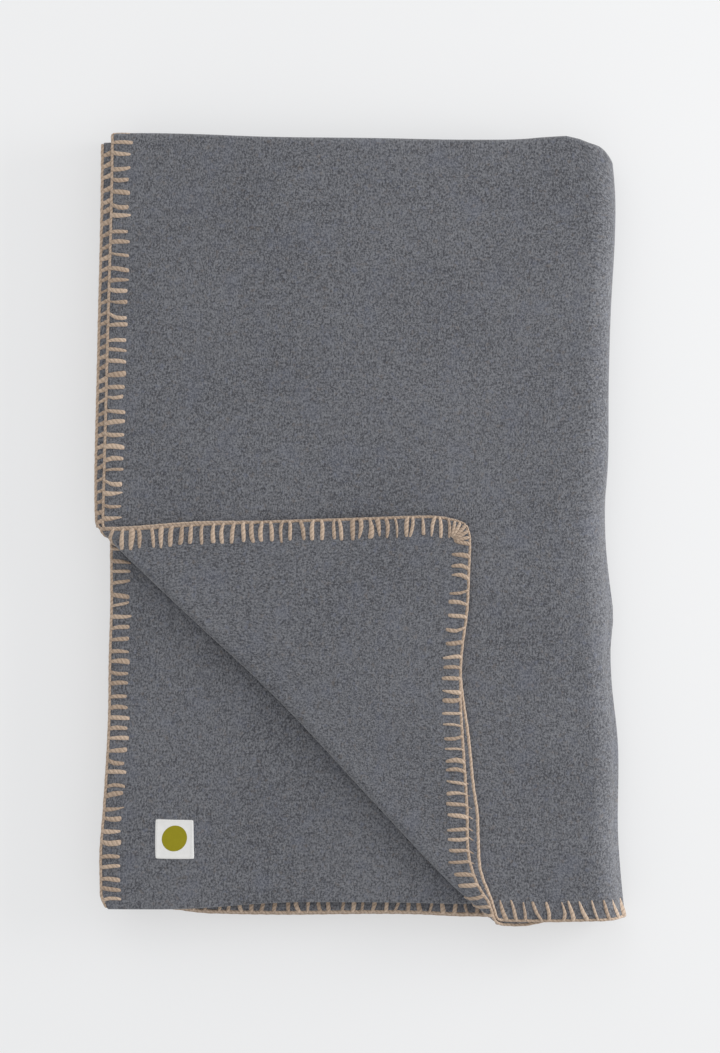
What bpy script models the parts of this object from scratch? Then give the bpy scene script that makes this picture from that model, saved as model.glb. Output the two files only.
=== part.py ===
"""A wool camp blanket with a blanket-stitched edge, folded away with one corner turned back.

The cloth is one sheet. Along its length it is folded in half and in half again, so that its
two short edges lie together at the front. The stack is then folded in half across its width,
and in half once more, which leaves four leaves of four layers each:

    top leaf      upper half   its long edge, and both short edges, are free
    inner leaf    upper half   ends at the other long edge
    under leaf    lower half   joined to the inner leaf by the tight side fold
    base leaf     lower half   joined to the top leaf by the wide side fold

The upper half opens like a book about the side fold. The front left corner of the two
topmost layers is turned back along a diagonal crease, and turns about that crease.
X is across the folded blanket, Y runs from its front to its back, Z is up.
"""

import math

import bmesh
import bpy
from mathutils import Matrix, Vector

# The sheet and its trimmings.
BLANKET_WIDTH = 1.300
BLANKET_LENGTH = 2.000
CLOTH = 0.0018  # thickness of one layer
YARN = 0.0018  # diameter of the edging yarn
GAP = 0.0003  # air between neighbouring pieces
LABEL_SIDE = 0.0254
LABEL_THICKNESS = 0.0006
LABEL_CORNER = 0.0012
DISC_DIAMETER = 0.0167
DISC_STEPS = 48
LABEL_FROM_EDGE = 0.0370  # from the long edge to the label's near side
LABEL_FROM_FOLD = 0.0310  # from the front fold to the label's near side

# How the folds lie over one another.
FOLD_BORE = 0.00015  # inner radius of a tight fold
FRONT_SETBACK = 0.0100  # the front fold behind the free edge
BACK_SETBACK = 0.0040  # the inner back fold in front of the outer one
SECOND_LEAD = 0.0026  # the second layer's free edge in front of the first's
SIDE_SETBACK = 0.0200  # the left fold inside the top leaf's long edge
INNER_SETBACK = 0.0094  # the inner leaf's long edge inside the top leaf's

# The turned corner.
CORNER_LEG = 0.2527  # along each edge, from the corner to the crease
CORNER_SKEW = 0.0085  # how far the corner has crept back along the crease
CORNER_ROUND = 0.0120
CREASE_BORE = 0.0006

HALF_TURN_STEPS = 8
PROFILE_STEPS = 6

# What follows from them.
LAYERS = 4
YARN_ROOM = max(YARN - CLOTH, 0.0)  # what the edging yarn needs beyond a layer's own height
PITCH = CLOTH + YARN_ROOM + GAP
LEAF = CLOTH + (LAYERS - 1) * PITCH
HALF_LEAF = LEAF / 2
V_FIRST = HALF_LEAF - CLOTH / 2
V_SECOND = V_FIRST - PITCH
YARN_OUT = GAP + YARN / 2  # from a cut edge to the middle of its yarn

TIGHT_TURN = HALF_LEAF + FOLD_BORE + YARN_ROOM / 2
WIDE_TURN = 3 * TIGHT_TURN
TURNS_ACROSS = math.pi * (WIDE_TURN + 2 * TIGHT_TURN)
TOP_WIDTH = (BLANKET_WIDTH - TURNS_ACROSS + 2 * SIDE_SETBACK + INNER_SETBACK) / 4
SIDE_OUT = WIDE_TURN + HALF_LEAF

FOLD_OUT = PITCH / 2  # middle of the cloth in a front fold or the inner back fold
BACK_OUT = FOLD_OUT + PITCH
TURNS_ALONG = math.pi * (BACK_OUT + 2 * FOLD_OUT)
TOP_LENGTH = (
    BLANKET_LENGTH - TURNS_ALONG + 2 * FRONT_SETBACK + 2 * BACK_SETBACK - SECOND_LEAD
) / 4

SPAN_X = YARN_OUT + YARN / 2 + TOP_WIDTH + SIDE_OUT
SPAN_Y = SECOND_LEAD + YARN_OUT + YARN / 2 + TOP_LENGTH + BACK_OUT + CLOTH / 2
LEFT = -SPAN_X / 2 + YARN_OUT + YARN / 2
ROLL_X = LEFT + TOP_WIDTH
FRONT = -SPAN_Y / 2 + SECOND_LEAD + YARN_OUT + YARN / 2
BACK_Y = FRONT + TOP_LENGTH
INNER_BACK_Y = BACK_Y - BACK_SETBACK
FRONT_FOLD_Y = FRONT + FRONT_SETBACK
SECOND_FRONT = FRONT - SECOND_LEAD

BASE_Z = HALF_LEAF + YARN_ROOM / 2
UNDER_Z = BASE_Z + 2 * TIGHT_TURN
LOWER_ROLL_Z = UNDER_Z + TIGHT_TURN
SPLIT_Z = LOWER_ROLL_Z + GAP / 2
UPPER_ROLL_Z = SPLIT_Z + GAP / 2
INNER_Z = UPPER_ROLL_Z + TIGHT_TURN
TOP_Z = INNER_Z + 2 * TIGHT_TURN
STACK_TOP = TOP_Z + HALF_LEAF
LEFT_FOLD_X = LEFT + SIDE_SETBACK
LEFT_FOLD_Z = (BASE_Z + UNDER_Z) / 2
INNER_LEFT = LEFT + INNER_SETBACK

CREASE_R = CREASE_BORE + CLOTH + PITCH  # outside of the crease's roll
CREASE_Z = STACK_TOP + CREASE_BORE + GAP / 2
CREASE_SUM = LEFT + FRONT + CORNER_LEG  # x + y along the crease's outermost line
CREASE_POINT = Vector((CREASE_SUM / 2, CREASE_SUM / 2, CREASE_Z))
ALONG = Vector((1, -1, 0)).normalized()
TOWARDS_CORNER = Vector((-1, -1, 0)).normalized()
REACH = 2 * CORNER_LEG

HEATHER_GREY = (0.125, 0.128, 0.141, 1.0)
BEIGE_YARN = (0.45, 0.32, 0.22, 1.0)
LABEL_WHITE = (0.80, 0.79, 0.76, 1.0)
DISC_OLIVE = (0.32, 0.28, 0.015, 1.0)


def clear_scene():
    """Remove every object, so that the script can be run again in an open file."""
    for item in list(bpy.data.objects):
        bpy.data.objects.remove(item, do_unlink=True)


def make_collection(name):
    """A collection linked to the scene."""
    collection = bpy.data.collections.new(name)
    bpy.context.scene.collection.children.link(collection)
    return collection


def make_material(name, colour, roughness):
    """A plain Principled material."""
    material = bpy.data.materials.new(name)
    material.use_nodes = True
    shader = material.node_tree.nodes["Principled BSDF"]
    shader.inputs["Base Color"].default_value = colour
    shader.inputs["Roughness"].default_value = roughness
    shader.inputs["Metallic"].default_value = 0.0
    material.diffuse_color = colour
    return material


def arc(centre, radius, start, end, steps):
    """Points on an arc in the plane, in degrees, both ends included."""
    points = []
    for step in range(steps + 1):
        angle = math.radians(start + (end - start) * step / steps)
        points.append(
            (
                centre[0] + radius * math.cos(angle),
                centre[1] + radius * math.sin(angle),
            )
        )
    return points


def leaf_profile():
    """Outline, in (y, height), of four layers folded from one strip.

    From the top the layers are the first, the second, the third and the fourth. The first
    joins the fourth at the back, outside the fold between the second and the third, and
    the third joins the fourth at the front."""
    half = CLOTH / 2
    first, second = V_FIRST, V_SECOND
    back, inner_back = (BACK_Y, 0.0), (INNER_BACK_Y, 0.0)
    front = (FRONT_FOLD_Y, -PITCH)
    bore = FOLD_OUT - half
    outline = [(FRONT, first + half)]
    outline += arc(back, BACK_OUT + half, 90, -90, PROFILE_STEPS + 2)
    outline += arc(front, FOLD_OUT + half, 270, 90, PROFILE_STEPS)
    outline += arc(inner_back, bore, -90, 90, PROFILE_STEPS)
    outline += [(SECOND_FRONT, second - half), (SECOND_FRONT, second + half)]
    outline += arc(inner_back, FOLD_OUT + half, 90, -90, PROFILE_STEPS)
    outline += arc(front, bore, 90, 270, PROFILE_STEPS)
    outline += arc(back, BACK_OUT - half, -90, 90, PROFILE_STEPS + 2)
    outline.append((FRONT, first - half))
    return outline


def link(name, mesh, material, collection):
    """A new object with this mesh and material."""
    item = bpy.data.objects.new(name, mesh)
    collection.objects.link(item)
    if material is not None:
        mesh.materials.append(material)
    mesh.shade_smooth()
    mesh.set_sharp_from_angle(angle=math.radians(35))
    return item


def finish_bmesh(bm, name):
    """Turn the working mesh into mesh data with its faces pointing out."""
    bmesh.ops.recalc_face_normals(bm, faces=bm.faces[:])
    mesh = bpy.data.meshes.new(name)
    bm.to_mesh(mesh)
    bm.free()
    return mesh


def run_straight(bm, face, run):
    """Carry the section's face along a straight run; the new end face is returned."""
    whole = [face, *face.edges, *face.verts]
    grown = bmesh.ops.extrude_face_region(bm, geom=whole)["geom"]
    corners = [part for part in grown if isinstance(part, bmesh.types.BMVert)]
    bmesh.ops.translate(bm, verts=corners, vec=run)
    return next(part for part in grown if isinstance(part, bmesh.types.BMFace))


def run_round(bm, face, x, z, degrees, steps):
    """Carry the section's face round a fold whose axis runs along Y through x and z."""
    whole = [face, *face.edges, *face.verts]
    turned = bmesh.ops.spin(
        bm,
        geom=whole,
        cent=(x, 0, z),
        axis=(0, 1, 0),
        angle=math.radians(degrees),
        steps=steps,
        use_merge=False,
        use_duplicate=False,
    )["geom_last"]
    return next(part for part in turned if isinstance(part, bmesh.types.BMFace))


def start_section(bm, x, z, facing):
    """The leaf's section as one face at x, right way up for facing 1 and over for -1."""
    corners = [bm.verts.new((x, y, z + facing * h)) for y, h in leaf_profile()]
    return bm.faces.new(corners)


def make_top_leaf(material, collection, cutters):
    """The top leaf with its quarter of the wide fold, open at the corner."""
    bm = bmesh.new()
    face = start_section(bm, LEFT, TOP_Z, 1)
    face = run_straight(bm, face, (TOP_WIDTH, 0, 0))
    run_round(bm, face, ROLL_X, UPPER_ROLL_Z, 90, HALF_TURN_STEPS)
    leaf = link("top_leaf_cloth", finish_bmesh(bm, "top_leaf_cloth"), material, collection)
    shape = "crease_cutter"
    below = TOP_Z + V_SECOND - PITCH / 2
    near = CREASE_POINT - TOWARDS_CORNER * CREASE_R
    cutter = crease_block(shape, near, REACH, below, STACK_TOP + CLOTH, cutters)
    add_boolean(leaf, cutter, "DIFFERENCE")
    for name, radius, front in (
        ("first_layer_roll", CREASE_BORE, FRONT),
        ("second_layer_roll", CREASE_BORE + PITCH, SECOND_FRONT),
    ):
        roll = crease_layer(name, radius, -1, 2 * CLOTH, None, cutters)
        bound = box_cutter(
            name + "_bound",
            (LEFT, front, 0),
            (LEFT + 2 * REACH, front + 2 * REACH, 2 * STACK_TOP),
            cutters,
        )
        add_boolean(roll, bound, "INTERSECT")
        add_boolean(leaf, roll, "UNION")
    return leaf


def make_inner_leaf(material, collection):
    """The inner leaf with its quarter of the tight side fold."""
    width = ROLL_X - INNER_LEFT
    bm = bmesh.new()
    face = start_section(bm, INNER_LEFT, INNER_Z, -1)
    face = run_straight(bm, face, (width, 0, 0))
    run_round(bm, face, ROLL_X, UPPER_ROLL_Z, 90, HALF_TURN_STEPS)
    return link("inner_leaf_cloth", finish_bmesh(bm, "inner_leaf_cloth"), material, collection)


def make_lower_half(material, collection):
    """The base and under leaves, the fold between them, and their quarters of both side folds."""
    width = ROLL_X - LEFT_FOLD_X
    bm = bmesh.new()
    corners = [
        bm.verts.new((ROLL_X + WIDE_TURN + h, y, LOWER_ROLL_Z)) for y, h in leaf_profile()
    ]
    face = bm.faces.new(corners)
    face = run_round(bm, face, ROLL_X, LOWER_ROLL_Z, 90, HALF_TURN_STEPS)
    face = run_straight(bm, face, (-width, 0, 0))
    face = run_round(bm, face, LEFT_FOLD_X, LEFT_FOLD_Z, 180, HALF_TURN_STEPS)
    face = run_straight(bm, face, (width, 0, 0))
    run_round(bm, face, ROLL_X, LOWER_ROLL_Z, -90, HALF_TURN_STEPS // 2)
    return link("lower_half_cloth", finish_bmesh(bm, "lower_half_cloth"), material, collection)


def add_boolean(item, other, operation):
    """Cut, join or trim item with other."""
    modifier = item.modifiers.new(other.name, "BOOLEAN")
    modifier.object = other
    modifier.operation = operation
    modifier.solver = "EXACT"


def as_cutter(item):
    """Leave a helper out of the model."""
    item.hide_render = True
    item.display_type = "WIRE"
    return item


def box_cutter(name, low, high, cutters):
    """A box between two corners."""
    size = Vector(high) - Vector(low)
    bm = bmesh.new()
    bmesh.ops.create_cube(bm, size=1.0)
    bmesh.ops.scale(bm, vec=size, verts=bm.verts[:])
    bmesh.ops.translate(bm, vec=(Vector(high) + Vector(low)) / 2, verts=bm.verts[:])
    return as_cutter(link(name, finish_bmesh(bm, name), None, cutters))


def crease_frame(point):
    """World place of a section drawn as (distance towards the corner, height) at a point."""
    axes = Matrix((TOWARDS_CORNER, Vector((0, 0, 1)), ALONG)).transposed()
    return Matrix.Translation(Vector((point.x, point.y, 0))) @ axes.to_4x4()


def crease_block(name, near, depth, low, high, cutters):
    """A block beyond the crease, from near towards the corner."""
    outline = [(0, low), (depth, low), (depth, high), (0, high)]
    return as_cutter(crease_prism(name, outline, near, None, cutters))


def crease_prism(name, outline, point, material, collection):
    """An outline across the crease, carried along it both ways."""
    place = crease_frame(point)
    bm = bmesh.new()
    corners = [bm.verts.new(place @ Vector((s, z, -REACH))) for s, z in outline]
    face = bm.faces.new(corners)
    run_straight(bm, face, ALONG * 2 * REACH)
    return link(name, finish_bmesh(bm, name), material, collection)


def crease_layer(name, bore, side, tail, material, collection):
    """One layer by the crease: a plate that ends in a quarter of its roll.

    bore is the roll's inner radius, and side is 1 above the crease's plane and -1 below.
    Above, the plate is the turned corner. Below, it is a tail inside the leaf."""
    inner, outer = bore, bore + CLOTH
    plane = CREASE_Z + side * GAP / 2
    outline = [(-tail, plane + side * inner), (-tail, plane + side * outer)]
    for radius, start, end in ((outer, 90, 0), (inner, 0, 90)):
        for s, rise in arc((0, 0), radius, start, end, PROFILE_STEPS):
            outline.append((s, plane + side * rise))
    near = CREASE_POINT - TOWARDS_CORNER * CREASE_R
    item = crease_prism(name, outline, near, material, collection)
    if material is None:
        as_cutter(item)
    return item


def mirrored(x, y):
    """The place where a point lands when it is turned over the crease."""
    return Vector((CREASE_SUM - y, CREASE_SUM - x))


def rounded_corner(first, corner, last, radius, steps):
    """A path from first to last with the corner between them rounded."""
    back = (first - corner).normalized()
    ahead = (last - corner).normalized()
    half_angle = back.angle(ahead) / 2
    reach = radius / math.tan(half_angle)
    centre = corner + (back + ahead).normalized() * radius / math.sin(half_angle)
    start = corner + back * reach - centre
    end = corner + ahead * reach - centre
    sweep = start.angle_signed(end)
    path = [first]
    for step in range(steps + 1):
        turn = Matrix.Rotation(-sweep * step / steps, 2)
        path.append(centre + turn @ start)
    path.append(last)
    return path


def flap_outline(grow):
    """The turned corner's two free edges, grow outside the cloth."""
    side_end = Vector((LEFT, CREASE_SUM - LEFT))
    front_end = Vector((CREASE_SUM - FRONT, FRONT))
    corner = mirrored(LEFT, FRONT) + Vector((-CORNER_SKEW, CORNER_SKEW))
    side_run = (corner - side_end).normalized()
    front_run = (front_end - corner).normalized()
    side_out = Vector((-side_run.y, side_run.x)) * grow
    front_out = Vector((-front_run.y, front_run.x)) * grow
    tip = corner + (side_out + front_out)
    return rounded_corner(
        side_end + side_out, tip, front_end + front_out, CORNER_ROUND + grow, PROFILE_STEPS
    )


def make_flap_layer(name, bore, material, collection, cutters):
    """One layer of the turned corner, cut to the corner's outline."""
    layer = crease_layer(name, bore, 1, REACH, material, collection)
    outline = flap_outline(0.0)
    outline.append(Vector((outline[0].x, outline[-1].y)))
    bm = bmesh.new()
    corners = [bm.verts.new((point.x, point.y, 0)) for point in outline]
    face = bm.faces.new(corners)
    run_straight(bm, face, (0, 0, 2 * STACK_TOP))
    bound = as_cutter(link(name + "_bound", finish_bmesh(bm, name + "_bound"), None, cutters))
    add_boolean(layer, bound, "INTERSECT")
    return layer


def make_yarn(name, points, material, collection):
    """A run of edging yarn through points in space."""
    data = bpy.data.curves.new(name, "CURVE")
    data.dimensions = "3D"
    data.bevel_depth = YARN / 2
    data.bevel_resolution = 2
    data.use_fill_caps = True
    spline = data.splines.new("POLY")
    spline.points.add(len(points) - 1)
    for place, point in zip(spline.points, points):
        place.co = (*point, 1.0)
    data.materials.append(material)
    item = bpy.data.objects.new(name, data)
    collection.objects.link(item)
    return item


def side_yarn_path(x, z, facing, first_stop, second_stop):
    """Along a leaf's long edge: over the first layer, round the folds and out on the second."""
    path = [(first_stop, V_FIRST)]
    path += arc((BACK_Y, 0.0), BACK_OUT, 90, -90, PROFILE_STEPS + 2)
    path += arc((FRONT_FOLD_Y, -PITCH), FOLD_OUT, 270, 90, PROFILE_STEPS)
    path += arc((INNER_BACK_Y, 0.0), FOLD_OUT, -90, 90, PROFILE_STEPS)
    path.append((second_stop, V_SECOND))
    return [(x, y, z + facing * h) for y, h in path]


def make_front_yarns(material, collection):
    """The yarn of both short edges, leaf by leaf."""
    steps = HALF_TURN_STEPS
    for layer, height, front in (("first", V_FIRST, FRONT), ("second", V_SECOND, SECOND_FRONT)):
        wide, tight = WIDE_TURN + height, TIGHT_TURN - height
        top = [(CREASE_SUM - front + CREASE_R + YARN, TOP_Z + height)]
        top += arc((ROLL_X, UPPER_ROLL_Z), wide, 90, 0, steps)
        inner = [(INNER_LEFT, INNER_Z - height)]
        inner += arc((ROLL_X, UPPER_ROLL_Z), tight, 90, 0, steps // 2)
        lower = arc((ROLL_X, LOWER_ROLL_Z), wide, 0, -90, steps)
        lower += arc((LEFT_FOLD_X, LEFT_FOLD_Z), TIGHT_TURN + height, 270, 90, steps)
        lower += arc((ROLL_X, LOWER_ROLL_Z), tight, -90, 0, steps // 2)
        for place, path in (("top", top), ("inner", inner), ("lower", lower)):
            points = [(x, front - YARN_OUT, z) for x, z in path]
            make_yarn(f"{layer}_short_edge_yarn_{place}", points, material, collection)


def make_side_yarns(material, collection):
    """The yarn of both long edges."""
    crease_y = CREASE_SUM - LEFT + CREASE_R + YARN
    top = side_yarn_path(LEFT - YARN_OUT, TOP_Z, 1, crease_y, crease_y)
    make_yarn("long_edge_yarn_top", top, material, collection)
    inner = side_yarn_path(INNER_LEFT - YARN_OUT, INNER_Z, -1, FRONT, SECOND_FRONT)
    make_yarn("long_edge_yarn_inner", inner, material, collection)


def make_flap_yarn(name, bore, material, collection):
    """The yarn round one layer of the turned corner."""
    z = CREASE_Z + GAP / 2 + bore + CLOTH / 2
    path = flap_outline(YARN_OUT)
    path[0] = path[0] + (path[1] - path[0]).normalized() * CREASE_R
    path[-1] = path[-1] + (path[-2] - path[-1]).normalized() * CREASE_R
    make_yarn(name, [(point.x, point.y, z) for point in path], material, collection)


def make_label(label_material, disc_material, collection):
    """The woven label on the third layer, with a plain disc on it."""
    x = LEFT + LABEL_FROM_EDGE + LABEL_SIDE / 2
    y = FRONT_FOLD_Y - FOLD_OUT - CLOTH / 2 + LABEL_FROM_FOLD + LABEL_SIDE / 2
    z = TOP_Z - PITCH / 2 + CLOTH / 2 + GAP + LABEL_THICKNESS / 2
    bm = bmesh.new()
    bmesh.ops.create_cube(bm, size=1.0)
    bmesh.ops.scale(bm, vec=(LABEL_SIDE, LABEL_SIDE, LABEL_THICKNESS), verts=bm.verts[:])
    uprights = [e for e in bm.edges if abs(e.verts[0].co.z - e.verts[1].co.z) > GAP]
    bmesh.ops.bevel(bm, geom=uprights, offset=LABEL_CORNER, segments=3, affect="EDGES")
    patch = link("label_patch", finish_bmesh(bm, "label_patch"), label_material, collection)
    patch.location = (x, y, z)
    bm = bmesh.new()
    bmesh.ops.create_cone(
        bm,
        cap_ends=True,
        segments=DISC_STEPS,
        radius1=DISC_DIAMETER / 2,
        radius2=DISC_DIAMETER / 2,
        depth=LABEL_THICKNESS,
    )
    disc = link("label_disc", finish_bmesh(bm, "label_disc"), disc_material, collection)
    disc.location = (x, y, z + LABEL_THICKNESS + GAP)


def main():
    clear_scene()
    blanket = make_collection("camp_blanket")
    cutters = make_collection("camp_blanket_cutters")
    cloth = make_material("heather_grey_wool", HEATHER_GREY, 0.95)
    yarn = make_material("beige_yarn", BEIGE_YARN, 0.9)
    label = make_material("label_white", LABEL_WHITE, 0.7)
    olive = make_material("label_olive", DISC_OLIVE, 0.7)
    make_lower_half(cloth, blanket)
    make_inner_leaf(cloth, blanket)
    make_top_leaf(cloth, blanket, cutters)
    make_flap_layer("turned_corner_first_layer", CREASE_BORE, cloth, blanket, cutters)
    make_flap_layer("turned_corner_second_layer", CREASE_BORE + PITCH, cloth, blanket, cutters)
    make_front_yarns(yarn, blanket)
    make_side_yarns(yarn, blanket)
    make_flap_yarn("turned_corner_first_yarn", CREASE_BORE, yarn, blanket)
    make_flap_yarn("turned_corner_second_yarn", CREASE_BORE + PITCH, yarn, blanket)
    make_label(label, olive, blanket)


main()
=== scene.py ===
"""The look of a wool camp blanket, folded flat with one corner turned back over its label.

The blanket is one sheet. Every piece is first laid out on the flat sheet, at a distance u across
it, v along it and n above the face that was outside when it was folded. One map then carries
all of them through the folds, over the corner's crease and into the shape the pile settled to.
"""

import math

import bpy
import numpy as np
from bpy.props import FloatProperty, FloatVectorProperty, IntProperty, PointerProperty
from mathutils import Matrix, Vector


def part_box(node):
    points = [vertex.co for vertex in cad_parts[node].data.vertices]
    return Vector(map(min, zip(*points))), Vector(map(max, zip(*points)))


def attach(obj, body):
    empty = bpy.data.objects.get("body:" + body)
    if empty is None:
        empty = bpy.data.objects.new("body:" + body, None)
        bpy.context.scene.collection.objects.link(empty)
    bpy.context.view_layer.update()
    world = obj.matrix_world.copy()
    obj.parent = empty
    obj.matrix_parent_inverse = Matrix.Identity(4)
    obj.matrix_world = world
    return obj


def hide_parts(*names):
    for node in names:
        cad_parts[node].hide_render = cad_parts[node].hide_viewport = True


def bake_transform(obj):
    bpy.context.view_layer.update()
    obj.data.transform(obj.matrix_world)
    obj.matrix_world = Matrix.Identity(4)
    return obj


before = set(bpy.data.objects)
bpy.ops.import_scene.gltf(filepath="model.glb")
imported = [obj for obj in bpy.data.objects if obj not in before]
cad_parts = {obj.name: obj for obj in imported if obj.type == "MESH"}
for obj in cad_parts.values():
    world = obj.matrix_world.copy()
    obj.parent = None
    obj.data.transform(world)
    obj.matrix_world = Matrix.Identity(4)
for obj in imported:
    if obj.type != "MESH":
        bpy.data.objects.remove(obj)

bl_info = {
    "name": "Folded Camp Blanket",
    "version": (1, 0, 0),
    "blender": (4, 5, 0),
    "location": "3D View > Sidebar > Blanket",
    "description": "A folded felt blanket with a hand-stitched edge, a turned corner and a label",
    "category": "Object",
}

MM = 0.001
PI = math.pi
ROOT2 = math.sqrt(2.0)
UPPER = "upper_half"
UNDER = "under_half"
FLAP = "corner_flap"

# The sheet, and the spaces that the folded model leaves for it.
WIDTH = 1.300
LENGTH = 2.000
CLOTH = 1.8 * MM
GAP = 0.3 * MM
SECOND_LEAD = 2.6 * MM
SIDE_SETBACK = 20.0 * MM
FRONT_SETBACK = 10.0 * MM
BACK_SETBACK = 4.0 * MM
PITCH = CLOTH + GAP
LEAF = 4 * CLOTH + 3 * GAP
FIRST = LEAF / 2 - CLOTH / 2
TOP_LOW, TOP_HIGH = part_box("top_leaf_cloth")
LOWER_LOW, LOWER_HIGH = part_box("lower_half_cloth")
SPLIT_Z = LOWER_HIGH[2] + GAP / 2
BASE_Z = LOWER_LOW[2] + LEAF / 2
TOP_Z = 2 * SPLIT_Z - BASE_Z
WIDE = TOP_Z - SPLIT_Z
TIGHT = LEAF / 2 + GAP
FAR_TURN = (WIDE - TIGHT) / 2
LEFT = TOP_LOW[0]
ROLL_X = TOP_HIGH[0] - WIDE - LEAF / 2
BACK_Y = TOP_HIGH[1] - LEAF / 2
FRONT = TOP_LOW[1] + SECOND_LEAD
BACK_OUT = FIRST
FOLD_OUT = PITCH / 2
HALF = CLOTH / 2
STACK_TOP = TOP_Z + LEAF / 2

TOP_WIDTH = ROLL_X - LEFT
BACK_WIDTH = TOP_WIDTH - SIDE_SETBACK
ACROSS = (
    (TOP_WIDTH, 0.0),
    (PI * WIDE, -1 / WIDE),
    (BACK_WIDTH, 0.0),
    (PI * FAR_TURN, -1 / FAR_TURN),
    (BACK_WIDTH, 0.0),
    (PI * TIGHT, 1 / TIGHT),
    (TOP_WIDTH, 0.0),
)
V0_RUN = BACK_Y - FRONT
V1_RUN = V0_RUN - FRONT_SETBACK
V2_RUN = V1_RUN - BACK_SETBACK
V3_RUN = V0_RUN - BACK_SETBACK + SECOND_LEAD
ALONG = (
    (V0_RUN, 0.0),
    (PI * BACK_OUT, -1 / BACK_OUT),
    (V1_RUN, 0.0),
    (PI * FOLD_OUT, -1 / FOLD_OUT),
    (V2_RUN, 0.0),
    (PI * FOLD_OUT, 1 / FOLD_OUT),
    (V3_RUN, 0.0),
)
V1_START = V0_RUN + PI * BACK_OUT
V2_START = V1_START + V1_RUN + PI * FOLD_OUT
V3_START = V2_START + V2_RUN + PI * FOLD_OUT
U1_START = TOP_WIDTH + PI * WIDE
U2_START = U1_START + BACK_WIDTH + PI * FAR_TURN
U3_START = U2_START + BACK_WIDTH + PI * TIGHT

# The turned corner.
CREASE_Z = 34.35 * MM  # height of the line it turns about
CREASE_OUTER = -168.7 * MM  # x + y along the crease's outermost line
ROLL_START = CREASE_OUTER + ROOT2 * (CREASE_Z - TOP_Z - FOLD_OUT + HALF)
CORNER = 272.0 * MM  # leg of the triangle of cloth that the corner's pieces hold
CORNER_FAN = 12.0 * MM

# Where the free edges came to lie, in millimetres: (y, x) for the long edge at the left.
LONG_FIRST = ((-239, -170.6), (-226, -170.5), (-188, -169.9), (-166, -169.4), (-96, -169.4),
              (-60, -168.9), (-13, -165.6), (12, -165.0), (130, -162.0), (251, -159.2))
LONG_THIRD = ((-250, -165.5), (-241, -166.6), (-228, -166.8), (-208, -167.0), (-180, -164.8),
              (-120, -161.3), (-83, -160.9), (-51, -160.0), (-25, -160.0), (120, -162.0),
              (247, -165.9))
LONG_FOURTH = ((-248, -163.5), (-200, -162.0), (-100, -157.5), (0, -155.5), (120, -159.0),
               (251, -158.9))
LONG_SECOND = ((-244, -177.1), (-226, -177.4), (-170, -176.0), (-64, -172.2), (-17, -169.4),
               (19, -170.0), (120, -168.2), (239, -165.9))
# (x, y) for the short edges at the front of the top leaf.
SHORT_FIRST = ((-172, -241.0), (-160, -241.0), (-143, -238.4), (-127, -235.8), (-86, -231.4),
               (-29, -236.0), (2, -239.0), (18, -241.5), (36, -242.3), (53, -243.4),
               (71, -248.6), (88, -252.2), (110, -253.0), (152, -252.6))
SHORT_SECOND = ((-178, -246.0), (-160, -246.0), (-143, -243.4), (-120, -241.2), (-86, -237.0),
                (9.5, -239.4), (48, -242.6), (60, -247.0), (70, -252.0), (80, -254.4),
                (92, -255.6), (104, -255.8), (114, -254.0), (124, -251.4), (152, -251.4))
# (x, y) of the front edges of the leaves below, outermost first.
LOWER_EDGE = ((-172, -246.0), (-128, -246.4), (-116, -247.4), (-106, -248.8), (-84, -249.8),
              (-60, -250.2), (50, -250.6), (60, -251.2), (75, -251.5), (172, -250.0))
# (y, x) of the wide side fold's outline, and (x, y) of the back fold's.
SIDE_OUTLINE = ((-256, 175.0), (-245, 173.8), (-205, 170.4), (-137, 169.9), (-99, 165.9),
                (-80, 165.2), (-55, 167.0), (-35, 164.6), (-8, 161.9), (14, 161.2), (46, 162.9),
                (92, 163.2), (142, 164.6), (191, 167.2), (237, 167.2), (256, 165.8))
BACK_OUTLINE = ((-172, 257.2), (-129, 257.2), (-107, 256.6), (-65, 254.9), (10, 254.0),
                (74, 253.0), (106, 253.5), (125, 255.0), (138, 255.2), (149, 251.3),
                (158, 248.0), (164, 243.0), (172, 238.0))
# (distance along the crease, bow across it).
CREASE_BOW = ((-100, 0.0), (-71, 0.5), (-24, 1.9), (18, 3.6), (61, 3.6), (110, 1.6), (158, -0.2),
              (204, -1.6), (220, -1.6), (234, -0.4))

# The label's tape.
TAPE_ROUGH = 0.6
TAPE_WAVE = 9000.0  # radians of the weave's wave to the metre


def smooth(t):
    """0 below 0, 1 above 1 and an even S between: 3t squared less 2t cubed."""
    t = np.clip(t, 0.0, 1.0)
    return t * t * (3.0 - 2.0 * t)


def through(t, knots, unit=MM):
    """A smooth curve through (place, value) knots, level beyond its ends.

    On each span it is the cubic that meets both knots with the slope of the line between
    their neighbours."""
    place = np.array([k[0] for k in knots]) * unit
    value = np.array([k[1] for k in knots]) * unit
    slope = np.gradient(value, place)
    slope[[0, -1]] = 0.0
    t = np.clip(t, place[0], place[-1])
    k = np.clip(np.searchsorted(place, t, side="right") - 1, 0, len(place) - 2)
    span = place[k + 1] - place[k]
    s = (t - place[k]) / span
    from_start = (1 + 2 * s) * (1 - s) ** 2 * value[k] + s * (1 - s) ** 2 * span * slope[k]
    return from_start + s * s * (3 - 2 * s) * value[k + 1] + s * s * (s - 1) * span * slope[k + 1]


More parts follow.
